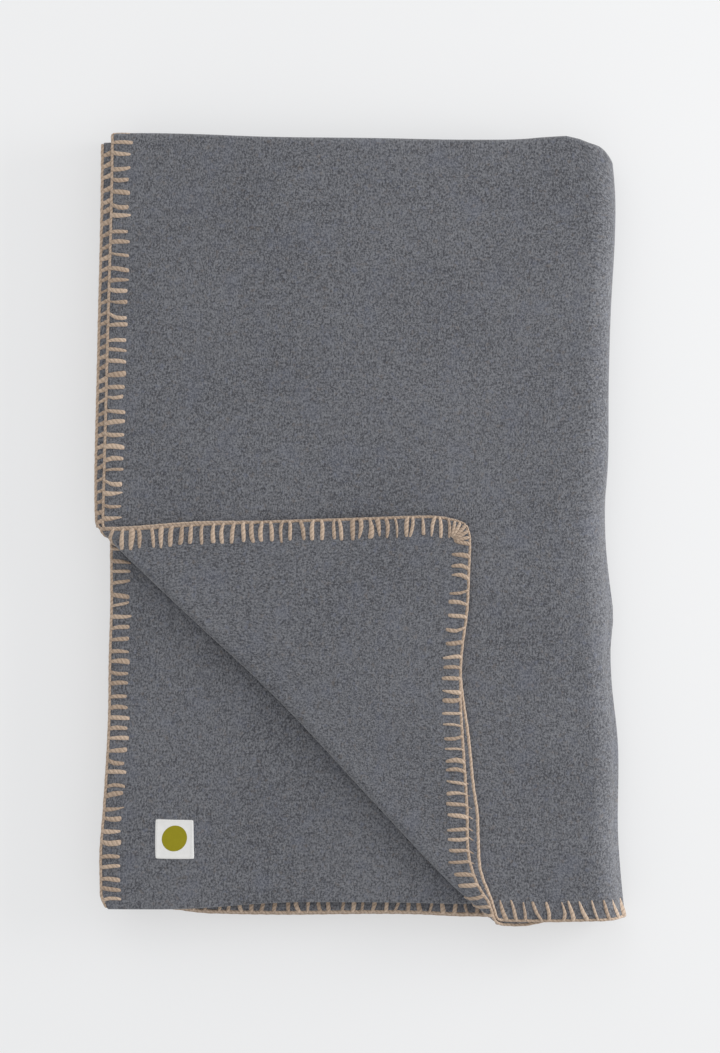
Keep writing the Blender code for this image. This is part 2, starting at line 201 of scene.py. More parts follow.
def travel(s, n, start, runs):
    """Distance s along straight runs and arcs, and n to the left of them.

    Each run is (length, curvature), a positive curvature turning left. A place on an arc is
    its start plus the difference of the sines and cosines of the heading over the curvature."""
    s = np.asarray(s, float)
    across, up, heading = np.empty_like(s), np.empty_like(s), np.zeros_like(s)
    x, y, turned, done = start[0], start[1], 0.0, 0.0
    for place, (length, curve) in enumerate(runs):
        here = s >= done if place else np.ones(s.shape, bool)
        t = s[here] - done
        if curve:
            across[here] = x + (np.sin(turned + curve * t) - math.sin(turned)) / curve
            up[here] = y - (np.cos(turned + curve * t) - math.cos(turned)) / curve
            x += (math.sin(turned + curve * length) - math.sin(turned)) / curve
            y -= (math.cos(turned + curve * length) - math.cos(turned)) / curve
        else:
            across[here] = x + t * math.cos(turned)
            up[here] = y + t * math.sin(turned)
            x += length * math.cos(turned)
            y += length * math.sin(turned)
        heading[here] = turned + curve * t
        turned += curve * length
        done += length
    return across - n * np.sin(heading), up + n * np.cos(heading)


def left_shift(v):
    """How far the long edge at the left lies from its straight place, at v along it."""
    y0 = FRONT + v
    y1 = BACK_Y - (v - V1_START)
    y2 = FRONT + FRONT_SETBACK + (v - V2_START)
    y3 = BACK_Y - BACK_SETBACK - (v - V3_START)
    first, third = through(y0, LONG_FIRST), through(y2, LONG_THIRD)
    second, fourth = through(y3, LONG_SECOND), through(y1, LONG_FOURTH)
    x = np.where(v < V0_RUN + PI * BACK_OUT / 2, first, fourth)
    x = np.where(v > V2_START - PI * FOLD_OUT / 2, third, x)
    return np.where(v > V3_START - PI * FOLD_OUT / 2, second, x) - LEFT


def front_shift(u, knots, behind):
    """How far a short edge lies in front of its straight place, at u along it.

    On the leaves below it follows their common line, and lies behind it by the given
    distance and by as much again on the second leaf."""
    x = travel(u, np.zeros_like(u), (LEFT, TOP_Z), ACROSS)[0]
    top = through(LEFT + u, knots)
    halfway = (TOP_WIDTH + U1_START) / 2
    pulled = smooth((u - halfway) / (U1_START - halfway))
    second_leaf = smooth((U2_START - u) / (PI * FAR_TURN))
    below = through(x, LOWER_EDGE) + (behind + 2.4 * second_leaf) * MM
    return top + (below - top) * pulled


def lay(u, v):
    """The flat sheet drawn out of true: its free edges wander and its corners are rounded.

    Each edge's shift fades away over EASE from the edge. At a corner, both coordinates move
    inwards by a bump that is the product of two squares."""
    ease = 120.0 * MM
    near_left = 1.0 - smooth(u / ease)
    near_first = 1.0 - smooth(v / ease)
    near_second = 1.0 - smooth((LENGTH - v) / ease)
    new_u = u + left_shift(v) * near_left
    first = front_shift(u, SHORT_FIRST, 0.0) - FRONT
    second = front_shift(u, SHORT_SECOND, 1.0) - FRONT + SECOND_LEAD
    new_v = v + first * near_first - second * near_second
    # The fold under the label has a rounded end at the left.
    from_fold = v - V2_START + PI * FOLD_OUT / 2
    new_u = new_u + 3.0 * MM * np.clip(1 - u / (14 * MM), 0, 1.05) ** 2 * np.exp(
        -((from_fold / (5 * MM)) ** 2)
    )
    size, pull = 30.0 * MM, 4.2 * MM
    for a, sign_u in ((u, 1.0), (WIDTH - u, -1.0)):
        for b, sign_v in ((v, 1.0), (LENGTH - v, -1.0)):
            bump = np.clip(1 - a / size, 0, 1.05) ** 2 * np.clip(1 - b / size, 0, 1.05) ** 2
            new_u = new_u + sign_u * pull * bump
            new_v = new_v + sign_v * pull * bump
    return new_u, new_v


def turn_corner(x, y, z, top_layers):
    """Carry what lies beyond the crease round it and back over the blanket.

    A point q beyond the roll's first line goes q over the layer's radius round the roll,
    and after half a turn it runs back the way it came."""
    q = (ROLL_START - x - y) / ROOT2
    middle = CREASE_Z - TOP_Z - np.where(top_layers > 0, FIRST, FOLD_OUT)
    radius = CREASE_Z - z
    angle = np.clip(q / middle, 0, PI)
    past = np.clip(q - PI * middle, 0, None)
    reach = radius * np.sin(angle) - past
    beyond = (q > 0) & (top_layers != 0)
    step = np.where(beyond, (q - reach) / ROOT2, 0.0)
    lifted = np.where(beyond, CREASE_Z - radius * np.cos(angle), z)
    # The flap's free edges drop on to the leaf below them.
    droop = 0.55 * MM * smooth(past / (110 * MM)) * beyond
    return x + step, y + step, lifted - droop


def fold_reach(u, v):
    """How far the front fold under the label reaches beyond its straight place.

    It is 4.6 mm at the left and dies away before the middle of the leaf, and over 70 mm of
    cloth on each side of the fold."""
    from_fold = (v - V2_START + PI * FOLD_OUT / 2) / (70 * MM)
    return 4.6 * MM * smooth((132 * MM - u) / (95 * MM)) * np.exp(-(from_fold**2))


def over_flap(x, y):
    """1 where the turned corner lies and by its crease, 0 well away from it."""
    inside = smooth((x + y - CREASE_OUTER + 34 * MM) / (24 * MM))
    return inside * smooth((146 * MM - x) / (30 * MM)) * smooth((76 * MM - y) / (30 * MM))


def settle(x, y, z):
    """The pile's own shape: uneven folds, a wide side fold with two lobes, soft waves on top.

    Below a fifth of a millimetre the height falls off as an exponential, so nothing sinks."""
    right = through(y, SIDE_OUTLINE) - TOP_HIGH[0]
    high = smooth((z - 13.5 * MM) / (7 * MM))
    forward = smooth((34 * MM - y) / (60 * MM))
    edge = smooth((x - ROLL_X + 10 * MM) / (22 * MM))
    new_x = x + right * smooth((x - 20 * MM) / (140 * MM)) - 3.8 * MM * high * forward * edge
    back = through(new_x, BACK_OUTLINE) - TOP_HIGH[1]
    new_y = y + back * smooth((y - 170 * MM) / (84 * MM))
    across = (new_x + new_y - CREASE_OUTER) / ROOT2
    bow = through((new_x - new_y) / ROOT2, CREASE_BOW) * np.exp(-((across / (28 * MM)) ** 2))
    bow = bow * smooth((z - 24 * MM) / (5 * MM)) / ROOT2
    new_x, new_y = new_x + bow, new_y + bow
    wave = (
        0.55 * np.sin(23 * x + 9 * y + 0.4)
        + 0.45 * np.sin(-14 * x + 21 * y + 1.9)
        + 0.30 * np.sin(47 * x - 16 * y + 3.0)
        + 0.20 * np.sin(31 * x + 55 * y + 0.7)
    )
    above = smooth((z - SPLIT_Z) / (STACK_TOP - SPLIT_Z))
    calm = 1 - over_flap(new_x, new_y)
    side_drop = 1.3 * smooth((x - ROLL_X + 24 * MM) / (40 * MM))
    side_drop += 0.9 * smooth((LEFT + 26 * MM - x) / (40 * MM))
    side_drop += 0.8 * smooth((y - BACK_Y + 30 * MM) / (40 * MM))
    new_z = z + (1.0 * wave - side_drop) * MM * above * calm
    # What lies lowest is pressed flat by the table.
    low = 0.2 * MM
    pressed = low * np.exp(np.minimum(new_z - low, 0.0) / (2 * low))
    return new_x, new_y, np.where(new_z < low, pressed, new_z)


def fold(u, v, n):
    """Places in the folded blanket of points (u, v, n) of the flat sheet."""
    u, v, n = (np.asarray(a, float) for a in np.broadcast_arrays(u, v, n))
    flat_u, flat_v = lay(u, v)
    y, h = travel(flat_v, n, (FRONT, FIRST), ALONG)
    y = y - fold_reach(u, v)
    x, z = travel(flat_u, h, (LEFT, TOP_Z), ACROSS)
    on_top = u < TOP_WIDTH * 0.99
    layers = np.where(on_top & (v < V0_RUN), 1, 0)
    layers = np.where(on_top & (v > V3_START), -1, layers)
    x, y, z = turn_corner(x, y, z, layers)
    return np.stack(settle(x, y, z), axis=-1)


def make_piece(name, points, faces, uvs):
    """A mesh object from points, face index arrays of any width, and a UV for each corner."""
    mesh = bpy.data.meshes.new(name)
    mesh.vertices.add(len(points))
    mesh.vertices.foreach_set("co", np.ascontiguousarray(points, np.float32).ravel())
    corners = np.concatenate([f.ravel() for f in faces]).astype(np.int32)
    widths = np.concatenate([np.full(len(f), f.shape[1]) for f in faces])
    starts = (np.cumsum(widths) - widths).astype(np.int32)
    mesh.loops.add(len(corners))
    mesh.loops.foreach_set("vertex_index", corners)
    mesh.polygons.add(len(widths))
    mesh.polygons.foreach_set("loop_start", starts)
    layer = mesh.uv_layers.new(name="flat")
    flat = np.concatenate([w.reshape(-1, 2) for w in uvs])
    layer.data.foreach_set("uv", np.ascontiguousarray(flat, np.float32).ravel())
    mesh.update(calc_edges=True)
    mesh.validate()
    mesh.shade_smooth()
    mesh.set_sharp_from_angle(angle=math.radians(64))
    piece = bpy.data.objects.new(name, mesh)
    bpy.context.scene.collection.objects.link(piece)
    return piece


def edge_thickness(u, v):
    """Half the cloth's thickness, which a quarter circle takes down at every cut edge."""
    inset = np.minimum(np.minimum(u, WIDTH - u), np.minimum(v, LENGTH - v))
    t = np.clip(inset / (1.1 * MM), 0, 1)
    return HALF * (0.42 + 0.58 * np.sqrt(1 - (1 - t) ** 2))


def closed_sheet(name, u, v, faces):
    """Both faces of a piece of cloth and the rim between them, folded.

    faces index the flat points. A rim face goes on every directed side that no other face
    runs the other way."""
    used = np.unique(np.concatenate([f.ravel() for f in faces]))
    index = np.full(len(u), -1)
    index[used] = np.arange(len(used))
    u, v = u[used], v[used]
    faces = [index[f] for f in faces]
    upright = []
    for f in faces:
        du1, dv1 = u[f[:, 1]] - u[f[:, 0]], v[f[:, 1]] - v[f[:, 0]]
        du2, dv2 = u[f[:, 2]] - u[f[:, 0]], v[f[:, 2]] - v[f[:, 0]]
        turned = (du1 * dv2 - dv1 * du2) < 0
        upright.append(np.where(turned[:, None], f[:, ::-1], f))
    sides = np.concatenate([np.stack([f, np.roll(f, -1, axis=1)], -1).reshape(-1, 2) for f in upright])
    total = len(used)
    forward = sides[:, 0] * total + sides[:, 1]
    back = sides[:, 1] * total + sides[:, 0]
    a, b = sides[~np.isin(forward, back)].T
    rim = np.stack([b, a, a + total, b + total], -1)
    half = edge_thickness(u, v)
    points = np.concatenate([fold(u, v, half), fold(u, v, -half)])
    flat = np.stack([u, v], -1)
    flat = np.concatenate([flat, flat + (3.0, 0.0)])
    every = upright + [f[:, ::-1] + total for f in upright] + [rim]
    return make_piece(name, points, every, [flat[f] for f in every])


def steps(start, stop, size):
    """Evenly spaced lines from start, up to but not on stop."""
    count = max(1, int(round((stop - start) / size)))
    return start + (stop - start) * np.arange(count) / count


def edge_lines(length, size):
    """Lines across a free edge: close together on it, then evenly to length."""
    near = np.array([0.0, 0.35, 1.1, 2.6, 5.0]) * MM
    return np.concatenate([near, steps(9 * MM, length, size)])


def corner_lines():
    """The lines that both edges of the corner share, mirrored about their middle."""
    half = edge_lines(CORNER / 2, 9 * MM)
    return np.concatenate([half, [CORNER / 2], CORNER - half[::-1]])


def stack_lines():
    """The sheet's lines across u and v: fine on what shows and in the folds, wide elsewhere."""
    shared = corner_lines()
    u = [shared, steps(CORNER + 8 * MM, TOP_WIDTH - 6 * MM, 9 * MM)]
    u.append(steps(TOP_WIDTH - 6 * MM, TOP_WIDTH, 3 * MM))
    u.append(TOP_WIDTH + PI * WIDE * np.arange(17) / 17)
    u.append(steps(U1_START, U1_START + BACK_WIDTH, 34 * MM))
    u.append(U1_START + BACK_WIDTH + PI * FAR_TURN * np.arange(11) / 11)
    u.append(steps(U2_START, U2_START + BACK_WIDTH, 34 * MM))
    u.append(U2_START + BACK_WIDTH + PI * TIGHT * np.arange(11) / 11)
    u.append(steps(U3_START, WIDTH - 20 * MM, 34 * MM))
    u.append(WIDTH - np.array([12.0, 5.0, 2.6, 1.1, 0.35, 0.0]) * MM)
    v = [shared, steps(CORNER + 8 * MM, V0_RUN, 9 * MM)]
    v.append(V0_RUN + PI * BACK_OUT * np.arange(12) / 12)
    v.append(steps(V1_START, V1_START + V1_RUN - 30 * MM, 34 * MM))
    v.append(steps(V1_START + V1_RUN - 30 * MM, V1_START + V1_RUN, 6 * MM))
    v.append(V1_START + V1_RUN + PI * FOLD_OUT * np.arange(10) / 10)
    v.append(steps(V2_START, V2_START + 280 * MM, 8 * MM))
    v.append(steps(V2_START + 280 * MM, V2_START + V2_RUN, 34 * MM))
    v.append(V2_START + V2_RUN + PI * FOLD_OUT * np.arange(8) / 8)
    v.append(steps(V3_START, LENGTH - CORNER - 4 * MM, 9 * MM))
    v.append(LENGTH - shared[::-1])
    return np.concatenate(u), np.concatenate(v), len(shared) - 1


def make_stack_cloth():
    """The whole sheet but the turned corner's two triangles, as one closed skin."""
    lines_u, lines_v, m = stack_lines()
    count = len(lines_v)
    u, v = (a.ravel() for a in np.meshgrid(lines_u, lines_v, indexing="ij"))
    i, j = np.meshgrid(np.arange(len(lines_u) - 1), np.arange(count - 1), indexing="ij")
    here = i * count + j
    near, far = i + j, i + count - 2 - j
    kept = (near >= m) & (far >= m)
    quad = np.stack([here, here + count, here + count + 1, here + 1], -1)[kept]
    first = here[(near == m - 1) & (far >= m)]
    second = here[(far == m - 1) & (near >= m)]
    first = np.stack([first + count, first + count + 1, first + 1], -1)
    second = np.stack([second, second + count, second + count + 1], -1)
    return closed_sheet("blanket_felt", u, v, [quad, np.concatenate([first, second])])


def make_corner_cloth(name, second):
    """One triangle of cloth, on lines beside the crease that shorten towards the tip."""
    share = corner_lines() / CORNER
    depth = np.concatenate(
        [
            np.array([0.0, 3.0]) * MM,
            steps(5 * MM, 30 * MM, 0.8 * MM),
            steps(30 * MM, 46 * MM, 3 * MM),
            steps(46 * MM, 166 * MM, 8 * MM),
            steps(166 * MM, (CORNER - 5 * MM) / ROOT2, 2.5 * MM),
            [(CORNER - 5 * MM) / ROOT2],
        ]
    )
    reach = CORNER - ROOT2 * depth
    u = np.outer(reach, share).ravel()
    v = np.outer(reach, 1 - share).ravel()
    if second:
        v = LENGTH - v
    count = len(share)
    i, j = np.meshgrid(np.arange(len(depth) - 1), np.arange(count - 1), indexing="ij")
    here = (i * count + j).ravel()
    quad = np.stack([here, here + count, here + count + 1, here + 1], -1)
    return closed_sheet(name, u, v, [quad])


def tubes(paths, side, wide, thick, ring, serial):
    """Yarn carried along paths of flat points: an ellipse across each path, closed at its ends.

    side is the direction of the ellipse's width. Its other axis is side crossed with the
    path's own direction."""
    count, length = paths.shape[:2]
    ahead = np.gradient(paths, axis=1)
    up = np.cross(side, ahead)
    up /= np.linalg.norm(up, axis=2, keepdims=True)
    angle = 2 * PI * np.arange(ring) / ring
    ellipse_w = np.cos(angle)[None, None, :, None] * wide[..., None, None]
    ellipse_h = np.sin(angle)[None, None, :, None] * thick[..., None, None]
    skin = paths[:, :, None, :] + ellipse_w * side[:, :, None, :] + ellipse_h * up[:, :, None, :]
    points = skin.reshape(-1, 3)
    k, i, j = np.meshgrid(np.arange(count), np.arange(length - 1), np.arange(ring), indexing="ij")
    base = (k * length + i) * ring
    after = (j + 1) % ring
    quad = np.stack([base + j, base + ring + j, base + ring + after, base + after], -1)
    quad = quad.reshape(-1, 4)
    gone = np.linalg.norm(np.diff(paths, axis=1), axis=2).cumsum(axis=1)
    gone = np.concatenate([np.zeros((count, 1)), gone], axis=1)
    round_0, round_1 = j / ring + serial[k], (j + 1) / ring + serial[k]
    long_0, long_1 = gone[k, i], gone[k, i + 1]
    uv = np.stack(
        [round_0, long_0, round_0, long_1, round_1, long_1, round_1, long_0], -1
    ).reshape(-1, 4, 2)
    first = np.arange(count)[:, None] * length * ring
    front = first + np.arange(ring)[None, :]
    rear = first + (length - 1) * ring + np.arange(ring)[None, ::-1]
    caps = np.concatenate([front, rear])
    cap_uv = np.zeros((len(caps), ring, 2))
    cap_uv[..., 0] = np.tile(serial, 2)[:, None]
    return points, [quad, caps], [uv, cap_uv]


def join(parts):
    """Several sets of points, faces and UVs as one."""
    points, faces, uvs, start = [], [], [], 0
    for part_points, part_faces, part_uvs in parts:
        points.append(part_points)
        faces += [f + start for f in part_faces]
        uvs += part_uvs
        start += len(part_points)
    return np.concatenate(points), faces, uvs


def place_on_edge(edge, along, inward, n):
    """Flat points given along an edge, inwards from it and above its face."""
    along, inward, n = np.broadcast_arrays(along, inward, n)
    if edge == "left":
        return np.stack([inward, along, n], -1)
    if edge == "right":
        return np.stack([WIDTH - inward, along, n], -1)
    if edge == "first":
        return np.stack([along, inward, n], -1)
    return np.stack([along, LENGTH - inward, n], -1)


def edge_pitch(edge, along):
    """The stitches' spacing at a place along an edge."""
    if edge == "left":
        return np.where(along < V1_START, 7.8, np.where(along > LENGTH - CORNER, 6.5, 7.2)) * MM
    if edge == "second":
        return np.full_like(along, 7.3 * MM)
    return np.full_like(along, 7.4 * MM)


def stitch_places(edge, length, rng):
    """Where the stitches are: steps of the pitch, each out by up to a seventh.

    Near the blanket's corners the fans take their place."""
    guess = np.linspace(0, length, 4000)
    number = np.concatenate([[0], np.cumsum(np.diff(guess) / edge_pitch(edge, guess[1:]))])
    count = int(number[-1])
    wanted = np.arange(1, count) + rng.uniform(-0.14, 0.14, count - 1)
    along = np.interp(wanted, number, guess)
    return along[(along > CORNER_FAN) & (along < length - CORNER_FAN)]


def carried_by(edge, along, leg):
    """What carries the yarn at each place on an edge: a body, or a fold between two.

    The places are 0 for the upper half, 1 for the under half, 2 for the corner, 3 for the side
    folds between the halves and 4 for the corner's crease. leg is how far in from the edge the
    yarn reaches."""
    u, v, _ = np.moveaxis(place_on_edge(edge, along, 0.0, 0.0), -1, 0)
    flat_u, flat_v = lay(u, v)
    y, h = travel(flat_v, 0 * u, (FRONT, FIRST), ALONG)
    x = travel(flat_u, h, (LEFT, TOP_Z), ACROSS)[0]
    q = (ROLL_START - x - y) / ROOT2
    roll = PI * (CREASE_Z - TOP_Z - np.where(v < V0_RUN, FIRST, FOLD_OUT))
    turned = (u < TOP_WIDTH) & ((v < V0_RUN) | (v > V3_START)) & (q > 0)
    wide, tight = TOP_WIDTH + PI * WIDE / 2, U3_START - PI * TIGHT / 2
    carrier = np.where((u > wide) & (u < tight), 1, 0)
    beside = (np.abs(u - wide) < 10 * MM) | (np.abs(u - tight) < 5 * MM)
    carrier = np.where(beside, 3, carrier)
    return np.where(turned, np.where(q < roll + leg / ROOT2, 4, 2), carrier)


def shows(edge, along, on_face):
    """1 where a stitch on that side lies open to the air, 0 where cloth presses on it."""
    y2 = FRONT + FRONT_SETBACK + (along - V2_START)
    if edge == "left" and on_face:
        seen = (along < V0_RUN) | (along > LENGTH - CORNER)
        seen |= (along > V2_START) & (y2 < CREASE_OUTER - LEFT + 6 * MM)
    elif edge == "left":
        seen = along > V3_START - 4 * MM
    elif edge == "first" and on_face:
        seen = (along > CORNER - 8 * MM) & (along < TOP_WIDTH + 12 * MM)
    elif edge == "second" and on_face:
        seen = along < CORNER
    else:
        seen = np.zeros(along.shape, bool)
    return seen.astype(float)


def make_stitches(edge, along, rng, start):
    """Blanket stitches: each leaves the rail, lies across the face, dives through the cloth and
    comes back slanting on the other side.

    Each path is ten points: three rise over the edge, three cross the face, two go down
    through the cloth and two return. The leg's tip and its run along the edge vary."""
    count = len(along)
    sideways = edge in ("first", "second")
    leg = rng.normal(12.1, 0.6, count) * MM
    lean = rng.normal(-2.0 if edge == "first" else 0.0, 0.8, count) * MM
    curl = rng.normal(0.0, 0.45, count) * MM
    middle, narrowing = {"first": (1.06, 0.36), "second": (1.18, 0.24)}.get(edge, (1.32, 0.14))
    wide = np.clip(rng.normal(middle, 0.17, count), 0.8, 1.8) * MM
    lie = 0.25 + 0.75 * shows(edge, along, True)[:, None]
    under = shows(edge, along, False)
    next_stitch = edge_pitch(edge, along) * 0.8
    hook = np.sign(rng.uniform(-0.7, 1.0, count)) * rng.uniform(0.5, 1.5, count) * MM
    share = np.array([-0.09, -0.03, 0.10, 0.36, 0.68, 0.93, 1.0, 0.88, 0.42, -0.04])
    height = np.array([0.0, 0.80, 1.0, 1.0, 1.0, 0.72, -0.55, -1.0, -1.0, -0.5])
    lean_at = np.array([0.0, 0.0, 0.04, 0.3, 0.65, 0.95, 1.0, 0.0, 0.0, 0.0])
    curl_at = np.array([0.0, 0.1, 0.4, 1.0, 0.8, 0.2, 0.0, 0.0, 0.0, 0.0])
    hook_at = np.array([1.0, 0.8, 0.35, 0.0, 0.0, 0.0, 0.0, 0.0, 0.0, 0.0])
    back_at = np.array([0.0, 0.0, 0.0, 0.0, 0.0, 0.0, 0.0, 0.14, 0.58, 1.0])
    lean_back = np.array([0.0, 0.0, 0.0, 0.0, 0.0, 0.0, 0.0, 0.86, 0.42, 0.0])
    inward = leg[:, None] * share
    shift = lean[:, None] * (lean_at + lean_back) + curl[:, None] * curl_at
    shift = shift + next_stitch[:, None] * back_at + hook[:, None] * hook_at
    if sideways:
        open_end = (along[:, None] > TOP_WIDTH) & (share < 0.5)
        lie = np.where(open_end, 1.0, lie)
    thick_up = 0.30 * MM + 0.52 * MM * lie
    above = HALF - 0.12 * MM + 0.36 * MM * lie
    beneath = HALF - 0.05 * MM + 0.25 * MM * under
    n = np.where(height > 0, height * above, height * beneath[:, None])
    paths = place_on_edge(edge, along[:, None] + shift, inward, n)
    side = np.zeros(paths.shape)
    side[..., 0 if sideways else 1] = 1.0
    if edge in ("right", "first"):
        side = -side
    even = np.array([0.70, 0.74, 0.84, 1.0, 1.05, 0.95, 0.6, 0.60, 0.66, 0.55])
    slope = np.array([1.0, 1.0, 0.9, 0.25, -0.4, -1.0, -0.6, 0.0, 0.0, 0.0])
    steep = rng.normal(narrowing, 0.18, (count, 1))
    returning = np.array([0, 0, 0, 0, 0, 0, 0.3, 0.5, 0.55, 0.45]) * under[:, None]
    taper = even * (1 + steep * slope) + returning
    flat = np.array([0, 0, 0, 0, 0, 0.2, 0.6, 1.0, 1.0, 1.0])
    thick = thick_up * (1 - flat) + (0.30 + 0.35 * under[:, None]) * MM * flat
    return tubes(paths, side, wide[:, None] * taper, thick, 6, start + np.arange(count))


def make_fan(right, second, start):
    """The corner's stitches: five legs that run from the rail in to one place.

    right and second say which corner of the blanket it is."""
    tip = 12.5 * MM
    spread = np.array([-1.0, -0.52, 0.0, 0.52, 1.0])
    count = len(spread)
    outer_a = np.clip(10.5 * MM * spread, 0, None) - 0.6 * MM
    outer_b = np.clip(-10.5 * MM * spread, 0, None) - 0.6 * MM
    inner_a = tip + 1.1 * MM * spread
    inner_b = tip - 1.1 * MM * spread
    share = np.array([0.0, 0.06, 0.16, 0.42, 0.7, 0.94, 1.0, 0.9])
    height = np.array([0.0, 0.8, 1.0, 1.0, 1.0, 0.72, -0.5, -0.9])
    a = outer_a[:, None] + (inner_a - outer_a)[:, None] * share
    b = outer_b[:, None] + (inner_b - outer_b)[:, None] * share
    n = height * (HALF + 0.22 * MM) * np.ones((count, 1))
    paths = np.stack([WIDTH - a if right else a, LENGTH - b if second else b, n], -1)
    ahead = paths[:, 4] - paths[:, 2]
    side = np.stack([-ahead[:, 1], ahead[:, 0], 0 * ahead[:, 0]], -1)
    side /= np.linalg.norm(side, axis=1, keepdims=True)
    side = side[:, None, :] * np.ones(paths.shape)
    wide = 1.15 * MM * np.array([0.75, 0.85, 1.0, 1.15, 1.0, 0.75, 0.5, 0.4]) * np.ones((count, 1))
    thick = 0.72 * MM * np.array([1, 1, 1, 1, 1, 0.9, 0.6, 0.4]) * np.ones((count, 1))
    return tubes(paths, side, wide, thick, 6, start + np.arange(count))


def make_rail(edge, along, places, start):
    """The rail of yarn outside an edge, which bows out between one stitch and the next."""
    nearest = np.abs(along[:, None] - places[None, :]).min(axis=1)
    bow = 0.35 * MM * smooth(nearest / (3.4 * MM))
    path = place_on_edge(edge, along, -0.55 * MM - bow, 0.0)[None]
    side = place_on_edge(edge, 0.0, 1.0, 0.0)[None, None] * np.ones(path.shape)
    side[...] -= place_on_edge(edge, 0.0, 0.0, 0.0)
    side *= -1.0 if edge in ("left", "second") else 1.0
    width = 1.16 * MM - 0.14 * MM * smooth(nearest / (2.0 * MM))
    return tubes(path, side, width[None], 0.84 * width[None], 8, np.array([start]))


def make_edging():
    """The stitches and rails of all four edges, one piece for each body and each fold."""
    names = (
        "upper_stitching", "under_stitching", "corner_stitching", "fold_stitching",
        "crease_stitching",
    )
    parts, serial = [[] for _ in names], 0
    rng = np.random.default_rng(20)
    for edge, length in (("left", LENGTH), ("right", LENGTH), ("first", WIDTH), ("second", WIDTH)):
        places = stitch_places(edge, length, rng)
        carrier = carried_by(edge, places, 13 * MM)
        for number in np.unique(carrier):
            chosen = places[carrier == number]
            parts[number].append(make_stitches(edge, chosen, rng, serial))
            serial += len(chosen)
        along = np.append(steps(-0.6 * MM, length + 0.6 * MM, 2.4 * MM), length + 0.6 * MM)
        carrier = carried_by(edge, along, 0.0)
        changes = np.flatnonzero(np.diff(carrier)) + 1
        for low, high in zip([0, *changes], [*changes, len(along) - 1]):
            rail = make_rail(edge, along[low : high + 1], places, serial)
            parts[carrier[low]].append(rail)
            serial += 1
    for right in (False, True):
        for second in (False, True):
            parts[0 if right else 2].append(make_fan(right, second, serial))
            serial += 5
    made = []
    for name, group in zip(names, parts):
        points, faces, uvs = join(group)
        made.append(make_piece(name, fold(*points.T), faces, uvs))
    return made


def slab(name, u, v, low, high, faces):
    """A thin patch on the cloth's face between two heights, closed round its rim."""
    total = len(u)
    sides = np.concatenate([np.stack([f, np.roll(f, -1, axis=1)], -1).reshape(-1, 2) for f in faces])
    forward = sides[:, 0] * total + sides[:, 1]
    back = sides[:, 1] * total + sides[:, 0]
    a, b = sides[~np.isin(forward, back)].T
    rim = np.stack([b, a, a + total, b + total], -1)
    points = np.concatenate([fold(u, v, high), fold(u, v, low)])
    flat = np.stack([u - u.mean(), v - v.mean()], -1)
    flat = np.concatenate([flat, flat])
    every = [*faces, *[f[:, ::-1] + total for f in faces], rim]
    return make_piece(name, points, every, [flat[f] for f in every])


def grid_faces(rows, columns):
    """Quads of a grid of points stored row by row."""
    i, j = np.meshgrid(np.arange(rows - 1), np.arange(columns - 1), indexing="ij")
    here = (i * columns + j).ravel()
    return np.stack([here, here + columns, here + columns + 1, here + 1], -1)


# ---------------------------------------------------------------- materials


def node(tree, kind, place=(0, 0), **values):
    """A node with its inputs and properties set by name."""
    made = tree.nodes.new(kind)
    made.location = place
    for key, value in values.items():
        if key in made.inputs:
            made.inputs[key].default_value = value
        else:
            setattr(made, key, value)
    return made


def math_node(tree, operation, a, b, place=(0, 0)):
    """A Math node on two links or numbers; its output socket is returned."""
    made = node(tree, "ShaderNodeMath", place, operation=operation)
    for socket, value in zip(made.inputs, (a, b)):
        if isinstance(value, (int, float)):
            socket.default_value = value
        else:
            tree.links.new(value, socket)
    return made.outputs[0]


def new_group(name, inputs, outputs):
    """An empty shader group with (name, socket type, default) inputs and (name, type) outputs."""
    group = bpy.data.node_groups.new(name, "ShaderNodeTree")
    for label, kind, default in inputs:
        socket = group.interface.new_socket(label, in_out="INPUT", socket_type=kind)
        if default is not None:
            socket.default_value = default
    for label, kind in outputs:
        group.interface.new_socket(label, in_out="OUTPUT", socket_type=kind)
    start = node(group, "NodeGroupInput", (-1200, 0))
    end = node(group, "NodeGroupOutput", (800, 0))
    return group, start, end


def noise(tree, vector, scale, detail, rough, place, lacunarity=2.0, distortion=0.0):
    """A noise texture's value."""
    made = node(tree, "ShaderNodeTexNoise", place)
    made.inputs["Scale"].default_value = scale
    made.inputs["Detail"].default_value = detail
    made.inputs["Roughness"].default_value = rough
    made.inputs["Lacunarity"].default_value = lacunarity
    made.inputs["Distortion"].default_value = distortion
    tree.links.new(vector, made.inputs["Vector"])
    return made.outputs["Fac"]


def ramp(tree, value, low, high, place):
    """A value mapped from low..high to 0..1 with an S."""
    made = node(tree, "ShaderNodeMapRange", place, interpolation_type="SMOOTHSTEP")
    made.inputs["From Min"].default_value = low
    made.inputs["From Max"].default_value = high
    tree.links.new(value, made.inputs["Value"])
    return made.outputs["Result"]


def mix_colour(tree, factor, a, b, place, blend="MIX"):
    """A Mix node on two colours, each a link or a colour."""
    made = node(tree, "ShaderNodeMix", place, data_type="RGBA", blend_type=blend)
    tree.links.new(factor, made.inputs[0])
    for socket, value in ((made.inputs[6], a), (made.inputs[7], b)):
        if hasattr(value, "is_linked"):
            tree.links.new(value, socket)
        else:
            socket.default_value = (*value, 1.0)
    return made.outputs[2]


def add_share(tree, total, value, share, place):
    """A total plus a share of another value."""
    beside = (place[0] - 160, place[1] - 160)
    part = math_node(tree, "MULTIPLY", value, share, beside)
    return math_node(tree, "ADD", total, part, place)


